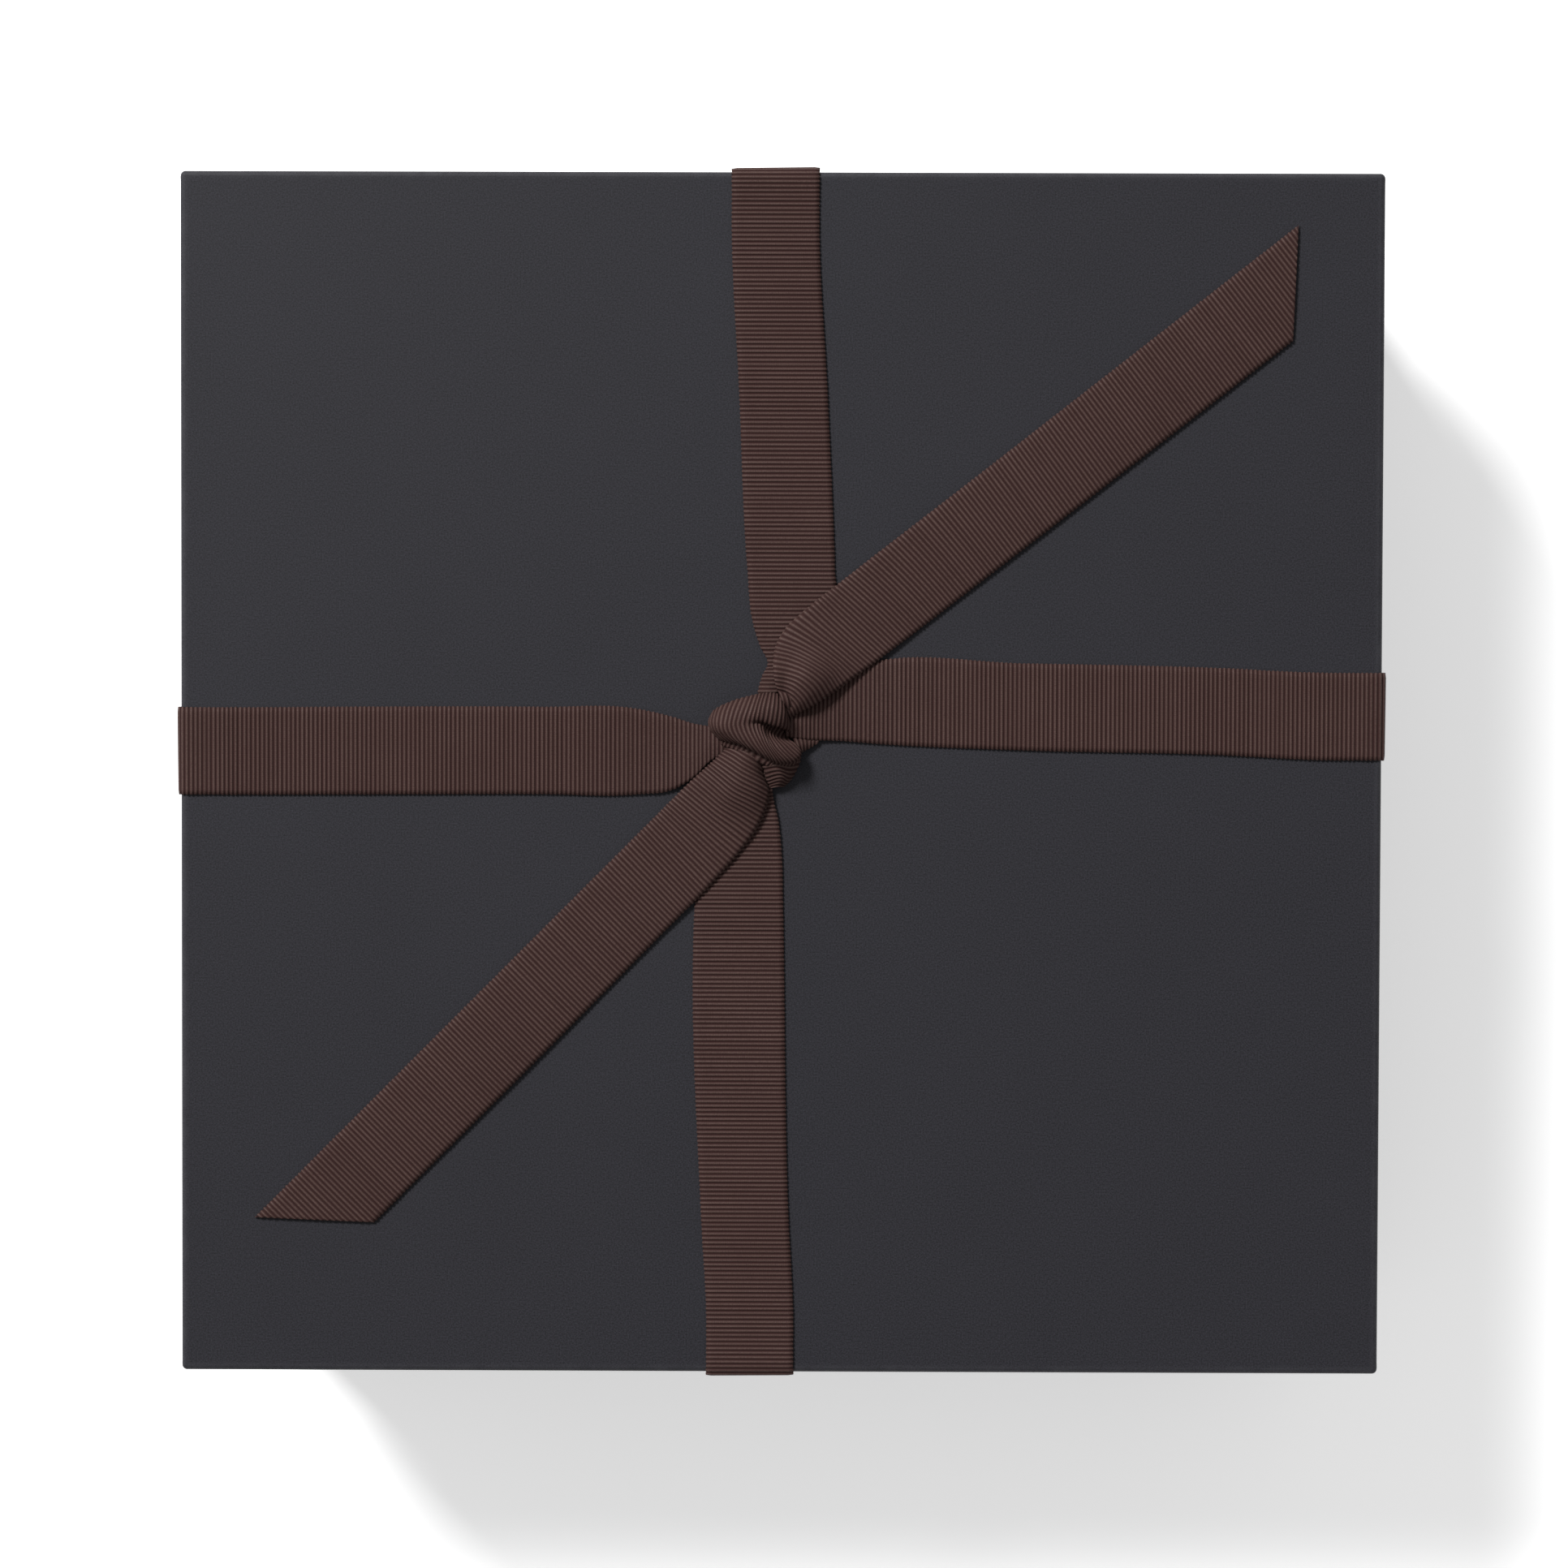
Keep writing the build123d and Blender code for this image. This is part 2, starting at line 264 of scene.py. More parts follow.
def wear_and_highlight_edge_group():
    """A mask along a block's edges, for rubbed wear and a painted highlight: the second smallest
    distance to its faces, broken up by noise.
    """
    group, start, end = new_group(
        "Worn and highlit edges",
        [
            ("Vector", "NodeSocketVector", None),
            ("Half width", "NodeSocketFloat", 0.15),
            ("Half depth", "NodeSocketFloat", 0.15),
            ("Top", "NodeSocketFloat", 0.1),
            ("Bottom", "NodeSocketFloat", 0.0),
            ("Reach", "NodeSocketFloat", 0.001),
        ],
        [("Mask", "NodeSocketFloat")],
    )
    place = start.outputs["Vector"]
    split = group.nodes.new("ShaderNodeSeparateXYZ")
    join(group, place, split.inputs[0])
    off_x = math_node(group, "ABSOLUTE", split.outputs["X"])
    off_y = math_node(group, "ABSOLUTE", split.outputs["Y"])
    across = math_node(group, "SUBTRACT", start.outputs["Half width"], off_x)
    along = math_node(group, "SUBTRACT", start.outputs["Half depth"], off_y)
    above = math_node(group, "SUBTRACT", start.outputs["Top"], split.outputs["Z"])
    below = math_node(group, "SUBTRACT", split.outputs["Z"], start.outputs["Bottom"])
    upright = math_node(group, "MINIMUM", above, below)
    lesser = math_node(group, "MINIMUM", across, along)
    greater = math_node(group, "MAXIMUM", across, along)
    second = math_node(group, "MAXIMUM", lesser, math_node(group, "MINIMUM", greater, upright))
    edge_breakup = map_range(group, noise(group, place, 180.0, 4.0, 0.7), 0.35, 0.75, 0.25, 1.0)
    band = map_range(group, second, 0.0, start.outputs["Reach"], 1.0, 0.0)
    join(group, math_node(group, "MULTIPLY", band, edge_breakup), end.inputs["Mask"])
    return group


def ribbed_weave_and_painted_light_group():
    """Ribs across a ribbon, with warp threads along it, from a UV map that counts in ribs and widths;
    its colour paints a highlight on each crest and shade in each groove.
    """
    group, start, end = new_group(
        "Ribbed weave and painted rib light",
        [
            ("Cut", "NodeSocketVector", None),
            ("Place", "NodeSocketVector", None),
            ("Crest, painted highlight", "NodeSocketColor", (0.1, 0.06, 0.05, 1)),
            ("Groove, painted shade", "NodeSocketColor", (0.03, 0.015, 0.012, 1)),
            ("Threads", "NodeSocketFloat", 62.0),
        ],
        [("Colour", "NodeSocketColor"), ("Height", "NodeSocketFloat"), ("Roughness", "NodeSocketFloat")],
    )
    split = group.nodes.new("ShaderNodeSeparateXYZ")
    join(group, start.outputs["Cut"], split.inputs[0])
    rib_turn = math_node(group, "MULTIPLY", split.outputs["X"], math.pi)
    wave = math_node(group, "ABSOLUTE", math_node(group, "SINE", rib_turn))
    rib = math_node(group, "POWER", wave, 2.2)
    wander = noise(group, start.outputs["Place"], 700.0, 2.0)
    thread_count = math_node(group, "MULTIPLY", split.outputs["Y"], start.outputs["Threads"])
    loose = math_node(group, "ADD", thread_count, math_node(group, "MULTIPLY", wander, 1.4))
    thread_turn = math_node(group, "MULTIPLY", loose, 2 * math.pi)
    thread = math_node(group, "MULTIPLY_ADD", math_node(group, "SINE", thread_turn), 0.5, 0.5)
    fuzz = noise(group, start.outputs["Place"], 2700.0, 3.0, 0.75)
    dye = noise(group, start.outputs["Place"], 95.0, 3.0, 0.6)

    # Painted light: the rib mask mixes a painted highlight on each crest with painted shade in each
    # groove, broken up by fuzz, threads and dye
    light = math_node(group, "MULTIPLY", rib, map_range(group, fuzz, 0.3, 0.7, 0.45, 1.35))
    lit = math_node(group, "MULTIPLY", light, map_range(group, thread, 0.0, 1.0, 0.78, 1.0))
    mask = math_node(group, "MULTIPLY", lit, map_range(group, dye, 0.3, 0.7, 0.86, 1.08), clamp=True)
    dye_and_painted_light = mix_colour(group, mask, start.outputs["Groove, painted shade"], start.outputs["Crest, painted highlight"])
    join(group, dye_and_painted_light, end.inputs["Colour"])
    low = math_node(group, "MULTIPLY", thread, 0.25)
    height = math_node(group, "MULTIPLY_ADD", fuzz, 0.7, low)
    raised = math_node(group, "MULTIPLY_ADD", rib, 1.6, height)
    join(group, raised, end.inputs["Height"])
    join(group, map_range(group, rib, 0.0, 1.0, 0.9, 0.55), end.inputs["Roughness"])
    return group


# ---------------------------------------------------------------- materials


def shared_group(name, build):
    """A node group that is built once and used by every material that needs it."""
    return bpy.data.node_groups.get(name) or build()


def place_group(tree, group):
    """Put a node group into a material."""
    node = tree.nodes.new("ShaderNodeGroup")
    node.node_tree = group
    return node


def blank_material(name):
    """A material with its shader ready and nothing else."""
    material = bpy.data.materials.new(name)
    material.use_nodes = True
    return material, material.node_tree, material.node_tree.nodes["Principled BSDF"]


def add_bump(tree, shader, height, distance):
    """Fine relief, in metres, on the shader's normal."""
    bump = tree.nodes.new("ShaderNodeBump")
    bump.inputs["Strength"].default_value = 1.0
    bump.inputs["Distance"].default_value = distance
    join(tree, height, bump.inputs["Height"])
    join(tree, bump.outputs["Normal"], shader.inputs["Normal"])


# How far in and how strongly the lighter edge colour reaches: partly rubbed wear, partly a painted
# highlight
WEAR_AND_HIGHLIGHT_REACH = 2.2 * MM
WEAR_AND_HIGHLIGHT_STRENGTH = 0.75
PAPER_SPECULAR = 0.2
RIBBON_SPECULAR = 0.12
WEAVE_RELIEF = 0.05 * MM
FLOOR_GLOW = 0.45


def paper_material(name, colour, mottle, tooth, dust, roughness, relief, worn_and_highlit=None, block=None):
    """Matt paper or board, with its relief in metres; a covered block also shows lighter edges, partly
    rubbed wear and partly a painted highlight.
    """
    material, tree, shader = blank_material(name)
    place = tree.nodes.new("ShaderNodeTexCoord").outputs["Object"]
    grain = place_group(tree, shared_group("Paper grain", paper_grain_group))
    join(tree, place, grain.inputs["Vector"])
    grain.inputs["Colour"].default_value = colour4(colour)
    grain.inputs["Mottle"].default_value = mottle
    grain.inputs["Tooth scale"].default_value = tooth
    grain.inputs["Dust"].default_value = dust
    grain.inputs["Roughness"].default_value = roughness
    shown = grain.outputs["Colour"]
    if worn_and_highlit is not None:
        low, high = block
        wear_and_highlight = place_group(tree, shared_group("Worn and highlit edges", wear_and_highlight_edge_group))
        join(tree, place, wear_and_highlight.inputs["Vector"])
        wear_and_highlight.inputs["Half width"].default_value = (high.x - low.x) / 2
        wear_and_highlight.inputs["Half depth"].default_value = (high.y - low.y) / 2
        wear_and_highlight.inputs["Top"].default_value = high.z
        wear_and_highlight.inputs["Bottom"].default_value = low.z
        wear_and_highlight.inputs["Reach"].default_value = WEAR_AND_HIGHLIGHT_REACH
        # Painted highlight and rubbed wear along the block's edges
        rubbed_and_highlit = math_node(tree, "MULTIPLY", wear_and_highlight.outputs["Mask"], WEAR_AND_HIGHLIGHT_STRENGTH)
        shown = mix_colour(tree, rubbed_and_highlit, shown, colour4(worn_and_highlit))
    join(tree, shown, shader.inputs["Base Color"])
    join(tree, grain.outputs["Roughness"], shader.inputs["Roughness"])
    shader.inputs["Specular IOR Level"].default_value = PAPER_SPECULAR
    add_bump(tree, shader, grain.outputs["Height"], relief)
    return material


def floor_material(colour):
    """A pale studio floor, a little uneven in its gloss."""
    material, tree, shader = blank_material("Studio floor")
    place = tree.nodes.new("ShaderNodeTexCoord").outputs["Object"]
    cloud = noise(tree, place, 3.0, 3.0, 0.6)
    soft = tuple(0.985 * value for value in colour)
    join(tree, mix_colour(tree, cloud, colour4(soft), colour4(colour)), shader.inputs["Base Color"])
    join(tree, map_range(tree, cloud, 0.3, 0.7, 0.72, 0.8), shader.inputs["Roughness"])
    shader.inputs["Emission Color"].default_value = (1, 1, 1, 1)
    shader.inputs["Emission Strength"].default_value = FLOOR_GLOW
    return material


def ribbon_material(sizes):
    """Dark brown ribbed ribbon, glossier on its crests, with a painted highlight on the crests and
    painted shade in the grooves, made once and shared by every length.
    """
    made = bpy.data.materials.get("Brown grosgrain")
    if made is not None:
        return made
    material, tree, shader = blank_material("Brown grosgrain")
    coordinates = tree.nodes.new("ShaderNodeTexCoord")
    weave_and_rib_light = place_group(tree, shared_group("Ribbed weave and painted rib light", ribbed_weave_and_painted_light_group))
    join(tree, coordinates.outputs["UV"], weave_and_rib_light.inputs["Cut"])
    join(tree, coordinates.outputs["Object"], weave_and_rib_light.inputs["Place"])
    weave_and_rib_light.inputs["Crest, painted highlight"].default_value = colour4(sizes.painted_highlight_crest)
    weave_and_rib_light.inputs["Groove, painted shade"].default_value = colour4(sizes.painted_shade_groove)
    join(tree, weave_and_rib_light.outputs["Colour"], shader.inputs["Base Color"])
    join(tree, weave_and_rib_light.outputs["Roughness"], shader.inputs["Roughness"])
    shader.inputs["Specular IOR Level"].default_value = RIBBON_SPECULAR
    add_bump(tree, shader, weave_and_rib_light.outputs["Height"], WEAVE_RELIEF)
    return material


# ---------------------------------------------------------------- ribbon making


def mesh_piece(name, mesh, material):
    """An object at the origin made from a finished bmesh."""
    data = bpy.data.meshes.new(name)
    mesh.to_mesh(data)
    mesh.free()
    data.materials.append(material)
    piece = bpy.data.objects.new(name, data)
    bpy.context.scene.collection.objects.link(piece)
    return piece


def smooth_through(values, knots, at):
    """A smooth curve through the values at uneven knots, read at other places along it."""
    values = np.asarray(values, float)
    knots = np.asarray(knots, float)
    gaps = np.diff(knots)
    slopes = np.diff(values, axis=0) / gaps[:, None]
    tangents = np.empty_like(values)
    tangents[0], tangents[-1] = slopes[0], slopes[-1]
    weight = (gaps[1:] / (gaps[1:] + gaps[:-1]))[:, None]
    tangents[1:-1] = slopes[:-1] * weight + slopes[1:] * (1 - weight)
    span = np.clip(np.searchsorted(knots, at, side="right") - 1, 0, len(gaps) - 1)
    h = gaps[span][:, None]
    u = ((at - knots[span]) / gaps[span])[:, None]
    first, second = values[span], values[span + 1]
    return (
        first * (2 * u**3 - 3 * u**2 + 1)
        + tangents[span] * h * (u**3 - 2 * u**2 + u)
        + second * (3 * u**2 - 2 * u**3)
        + tangents[span + 1] * h * (u**3 - u**2)
    )


def evenly(points, steps):
    """The same smooth line with its points at even distances along it, and its length."""
    points = np.asarray(points, float)
    knots = np.concatenate([[0], np.cumsum(np.linalg.norm(np.diff(points, axis=0), axis=1))])
    fine = np.linspace(0, knots[-1], 24 * len(points))
    line = smooth_through(points, knots, fine)
    run = np.concatenate([[0], np.cumsum(np.linalg.norm(np.diff(line, axis=0), axis=1))])
    at = np.interp(np.linspace(0, run[-1], steps + 1), run, fine)
    return smooth_through(points, knots, at), run[-1], at, knots


def spread_surface(stations, length_steps, across_steps):
    """A grid of points over a net of stations; each station runs from the left edge to the right one."""
    net = np.asarray(stations, float)
    middle = net[:, net.shape[1] // 2]
    length = evenly(middle, 8)[1]
    _, _, at, knots = evenly(middle, length_steps(length))
    lines = np.stack([smooth_through(net[:, c], knots, at) for c in range(net.shape[1])], axis=1)
    return np.stack([evenly(line, across_steps)[0] for line in lines]), length


STEPS_PER_RIB = 6
STEPS_ACROSS = 18
RIB_FULLNESS = 0.6
RIB_UNEVENNESS = 0.14
SELVEDGE_SHARE = 0.1
SELVEDGE_SCALLOP = 0.26


def ribbon_piece(name, stations, sizes, material, across_steps=STEPS_ACROSS, cut=None, seed=0):
    """A length of ribbed ribbon over a net of stations in millimetres, and its length along the middle.

    The cut is a flat grid with a second layer pulled up from it. Both layers follow the net, half the
    thickness to each side, and every rib swells them apart. A cut end is sliced off by a plane.
    """
    pitch = sizes.rib_pitch / MM

    def steps_along(run):
        return STEPS_PER_RIB * max(2, round(run / pitch))

    surface, length = spread_surface(stations, steps_along, across_steps)
    steps = surface.shape[0] - 1
    ribs = steps / STEPS_PER_RIB

    along_way = np.gradient(surface, axis=0)
    across_way = np.gradient(surface, axis=1)
    normal = np.cross(across_way, along_way)
    normal /= np.linalg.norm(normal, axis=2, keepdims=True)
    side = across_way / np.linalg.norm(across_way, axis=2, keepdims=True)

    random = np.random.default_rng(seed)
    phase = np.arange(steps + 1) / STEPS_PER_RIB
    rib = np.abs(np.sin(math.pi * phase)) ** RIB_FULLNESS
    strength = 1 + RIB_UNEVENNESS * random.standard_normal(steps + 1)
    swell = (rib * np.clip(strength, 0.6, 1.4))[:, None]
    t = np.linspace(-1, 1, across_steps + 1)[None, :]
    selvedge = np.clip((np.abs(t) - (1 - SELVEDGE_SHARE)) / SELVEDGE_SHARE, 0, 1)
    body = sizes.thickness / MM / 2 * (1 - 0.35 * selvedge)
    half = body + sizes.rib_relief / MM * swell * (1 - 0.45 * selvedge)
    scallop = selvedge * np.sign(t) * (swell - 0.5) * SELVEDGE_SCALLOP
    shift = surface + side * scallop[..., None]

    mesh = bmesh.new()
    cut_map = mesh.loops.layers.uv.new("cut")
    bmesh.ops.create_grid(mesh, x_segments=steps, y_segments=across_steps, size=1.0)
    pulled = bmesh.ops.extrude_face_region(mesh, geom=mesh.faces[:])
    upper = [item for item in pulled["geom"] if isinstance(item, bmesh.types.BMVert)]
    bmesh.ops.translate(mesh, verts=upper, vec=(0, 0, 1))
    for face in mesh.faces:
        for loop in face.loops:
            flat = loop.vert.co
            loop[cut_map].uv = ((flat.x + 1) / 2 * ribs, (flat.y + 1) / 2)
    for vertex in mesh.verts:
        row = round((vertex.co.x + 1) / 2 * steps)
        column = round((1 - vertex.co.y) / 2 * across_steps)
        way = 1 if vertex.co.z > 0.5 else -1
        vertex.co = Vector(shift[row, column] + way * normal[row, column] * half[row, column])
    bmesh.ops.scale(mesh, verts=mesh.verts[:], vec=(MM, MM, MM))
    if cut is not None:
        whole = mesh.verts[:] + mesh.edges[:] + mesh.faces[:]
        point, way = cut
        sliced = bmesh.ops.bisect_plane(
            mesh, geom=whole, dist=1e-7, plane_co=Vector(point) * MM, plane_no=Vector(way),
            clear_outer=True
        )
        rim = [item for item in sliced["geom_cut"] if isinstance(item, bmesh.types.BMEdge)]
        bmesh.ops.edgeloop_fill(mesh, edges=rim)
    bmesh.ops.recalc_face_normals(mesh, faces=mesh.faces[:])
    for face in mesh.faces:
        face.smooth = True
    return mesh_piece(name, mesh, material), length


def finish_ribbon(piece, nodes, folds=()):
    """Hang a length of ribbon on the lid and let it stand for its plain solids."""
    for part in (piece, *folds):
        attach(part, "lid")
    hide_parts(*nodes)


def at_knot(x, y, z):
    """A point given from the knot's middle and the top of the lid, in the object's own frame."""
    knot = (KNOT_LOW + KNOT_HIGH) / 2 / MM
    return (knot.x + x, knot.y + y, LID_TOP / MM + z)


# The lip under the band's fold: share of the way out to its edge, and its drop below the fold
# where the fold stands at its usual depth
KNOT_LIP = [(0.1, 1.3), (0.5, 1.4), (0.95, 1.9), (1.05, 3.4)]
KNOT_FOLD_DEPTH = 2.7
# The band's other edge, turned under: share of the way back in, and of its height that is left
# over the lowest point
KNOT_TUCK = [(0.6, 0.1), (0.1, 0.55)]
KNOT_LOWEST = 0.5


def whole_band(row):
    """A station of the band with its turned-under edge and the layer that shows under its fold."""
    up = Vector((0, 0, 1))
    edge, inner = Vector(row[0]), Vector(row[1])
    back = Vector((inner.x - edge.x, inner.y - edge.y, 0))
    rise = edge.z - KNOT_LOWEST
    tuck = [edge + back * share - up * rise * (1 - left) for share, left in KNOT_TUCK]
    fold, rim = Vector(row[-2]), Vector(row[-1])
    out = Vector((rim.x - fold.x, rim.y - fold.y, 0))
    steepness = (fold.z - rim.z) / KNOT_FOLD_DEPTH
    lip = [fold + out * share - up * drop * steepness for share, drop in KNOT_LIP]
    return [tuple(point) for point in tuck] + list(row[:-1]) + [tuple(point) for point in lip]


# How high the middle of a ribbon lies over the paper, in millimetres
LIE = 0.39
# Each arm's stations near the knot, in millimetres: distance out from the box's middle, then the left
# edge, middle and right edge, as seen when looking outwards, then the heights of those three
ARM_STATIONS = {
    "back": [
        (17.0, 5.5, 3.0, 0.5, 3.0, 3.8, 3.0),
        (20.4, 5.7, 3.3, 1.0, 2.6, 3.2, 2.8),
        (24.4, 4.7, 1.9, -1.4, 1.8, 2.4, 2.0),
        (28.0, 3.3, -0.6, -4.6, 1.2, 1.6, 1.3),
        (32.0, 5.2, -2.1, -9.0, 0.8, 1.0, 0.9),
        (38.7, 7.2, -3.3, -13.6, 0.5, 0.6, 0.5),
        (50.8, 8.4, -2.5, -13.3, LIE, 0.4, LIE),
        (95.3, 10.6, -0.35, -11.3, LIE, LIE, LIE),
    ],
    "right": [
        (1.0, 17.0, 13.0, 9.6, 2.4, 3.0, 2.4),
        (4.5, 18.6, 13.5, 9.0, 1.9, 2.6, 2.0),
        (9.0, 22.0, 15.2, 8.7, 1.3, 1.8, 1.2),
        (15.0, 26.2, 17.2, 8.5, 0.8, 1.0, 0.7),
        (24.0, 28.4, 17.8, 7.8, 0.5, 0.6, 0.45),
        (60.0, 27.9, 17.1, 6.3, LIE, LIE, LIE),
        (108.8, 26.9, 16.1, 5.3, LIE, LIE, LIE),
    ],
    "front": [
        (-3.0, -1.5, -4.2, -6.8, 2.2, 2.8, 2.2),
        (2.0, -2.2, -5.2, -8.4, 1.8, 2.4, 1.8),
        (6.0, -1.9, -7.2, -12.2, 1.1, 1.6, 1.2),
        (10.5, -0.8, -8.8, -16.4, 0.8, 1.0, 0.8),
        (20.0, 0.25, -10.2, -20.6, 0.5, 0.6, 0.5),
        (33.0, 0.6, -10.4, -21.4, LIE, LIE, LIE),
        (111.0, 2.2, -8.7, -19.6, LIE, LIE, LIE),
    ],
    "left": [
        (12.0, -6.0, -9.0, -11.6, 2.6, 3.2, 2.6),
        (17.5, -3.4, -8.0, -12.0, 1.7, 2.2, 1.7),
        (21.5, 0.6, -6.4, -12.6, 1.1, 1.5, 1.2),
        (27.0, 3.8, -5.5, -14.3, 0.8, 0.9, 0.8),
        (36.0, 5.0, -5.6, -16.3, 0.5, 0.5, 0.5),
        (60.0, 5.0, -5.8, -16.7, LIE, LIE, LIE),
        (105.0, 5.2, -5.7, -16.6, LIE, LIE, LIE),
    ],
}
# Half the width of an arm that lies flat, and how far its taped end stands in from the wall's lining
LAID_HALF_WIDTH = 10.85
TAB_DEPTH = 0.45
ARM_TURNS = {"right": 0.0, "back": 90.0, "left": 180.0, "front": 270.0}
ARM_EDGE_CENTRES = {"right": 14.9, "back": 1.7, "left": -5.5, "front": -7.4}
# How far each arm bows off the lid's edge at its left and right selvedges
ARM_BOWS = {"right": (0.55, 0.35), "back": (0.45, 0.8), "left": (0.25, 0.5), "front": (0.4, 0.6)}

# Each tail's heading from +X in degrees, then its stations from left to right as points (distance along,
# offset to the left, height); three points where it is plain and five where it folds
TAIL_HEADINGS = {"front_left": 225.2, "back_right": 38.1}
TAIL_STATIONS = {
    "front_left": [
        ((-2.0, -5.5, 3.0), (-0.5, -9.5, 4.6), (2.5, -13.0, 3.2)),
        ((2.3, -4.0, 3.0), (2.6, -6.4, 5.2), (3.2, -9.2, 6.0), (3.8, -11.8, 5.2), (4.8, -14.1, 3.4)),
        ((5.0, 0.8, 2.8), (5.8, -2.6, 5.2), (7.0, -6.6, 6.2), (7.8, -10.6, 5.2), (8.6, -14.3, 3.1)),
        ((9.0, 3.4, 2.3), (10.0, -0.6, 4.3), (11.5, -5.4, 5.0), (12.0, -10.0, 3.9), (12.5, -14.5, 2.4)),
        ((14.0, 5.2, 1.9), (14.8, 0.4, 2.9), (16.0, -4.8, 3.2), (16.5, -9.8, 2.6), (17.0, -14.7, 1.8)),
        ((20.0, 6.2, 1.6), (21.0, -4.3, 2.1), (22.0, -14.8, 1.3)),
        ((30.0, 6.9, 1.35), (30.0, -4.0, 1.5), (30.0, -14.8, 1.0)),
        ((50.0, 7.1, 0.8), (50.0, -3.8, 1.1), (50.0, -14.8, 0.8)),
        ((100.0, 7.3, 0.8), (100.0, -3.75, 1.2), (100.0, -14.8, 0.8)),
        ((140.0, 7.2, 0.6), (140.0, -3.75, 0.8), (140.0, -14.8, 0.6)),
        ((180.0, 7.2, 0.5), (180.0, -3.75, 0.6), (180.0, -14.8, 0.5)),
    ],
    "back_right": [
        ((10.0, 13.2, 3.8), (9.8, 11.6, 4.2), (9.6, 10.0, 3.0)),
        ((12.0, 15.8, 5.6), (12.8, 14.2, 5.2), (13.2, 12.8, 5.6), (13.2, 11.2, 5.4), (12.6, 9.6, 3.8)),
        ((13.0, 18.8, 6.7), (14.8, 16.9, 5.9), (16.0, 14.6, 6.9), (16.4, 11.8, 6.6), (16.0, 8.8, 4.4)),
        ((14.6, 21.6, 6.2), (17.0, 19.0, 5.6), (19.0, 15.8, 7.4), (19.8, 12.2, 6.8), (19.4, 8.4, 4.2)),
        ((16.6, 24.2, 4.6), (19.4, 20.8, 4.8), (21.6, 16.6, 6.6), (22.8, 12.4, 5.8), (22.6, 8.2, 3.6)),
        ((19.4, 26.4, 2.9), (22.2, 22.2, 3.5), (24.4, 17.2, 4.6), (25.8, 12.6, 4.1), (25.8, 8.0, 2.8)),
        ((23.6, 28.0, 1.7), (27.4, 17.6, 3.0), (29.4, 7.9, 2.1)),
        ((30.0, 28.6, 1.4), (32.0, 17.9, 1.9), (34.0, 7.7, 1.5)),
        ((40.0, 28.7, 1.1), (42.0, 18.0, 1.3), (43.5, 7.5, 1.0)),
        ((80.0, 28.6, 0.8), (80.0, 17.9, 1.2), (80.0, 7.2, 0.8)),
        ((140.0, 28.6, 0.7), (140.0, 17.8, 1.0), (140.0, 6.9, 0.7)),
        ((195.0, 28.6, 0.6), (195.0, 17.7, 0.7), (195.0, 6.8, 0.6)),
    ],
}
# The slant cut at each tail's end: distance along at the left edge and at the right edge
TAIL_CUTS = {"front_left": (151.4, 171.6), "back_right": (185.4, 166.8)}

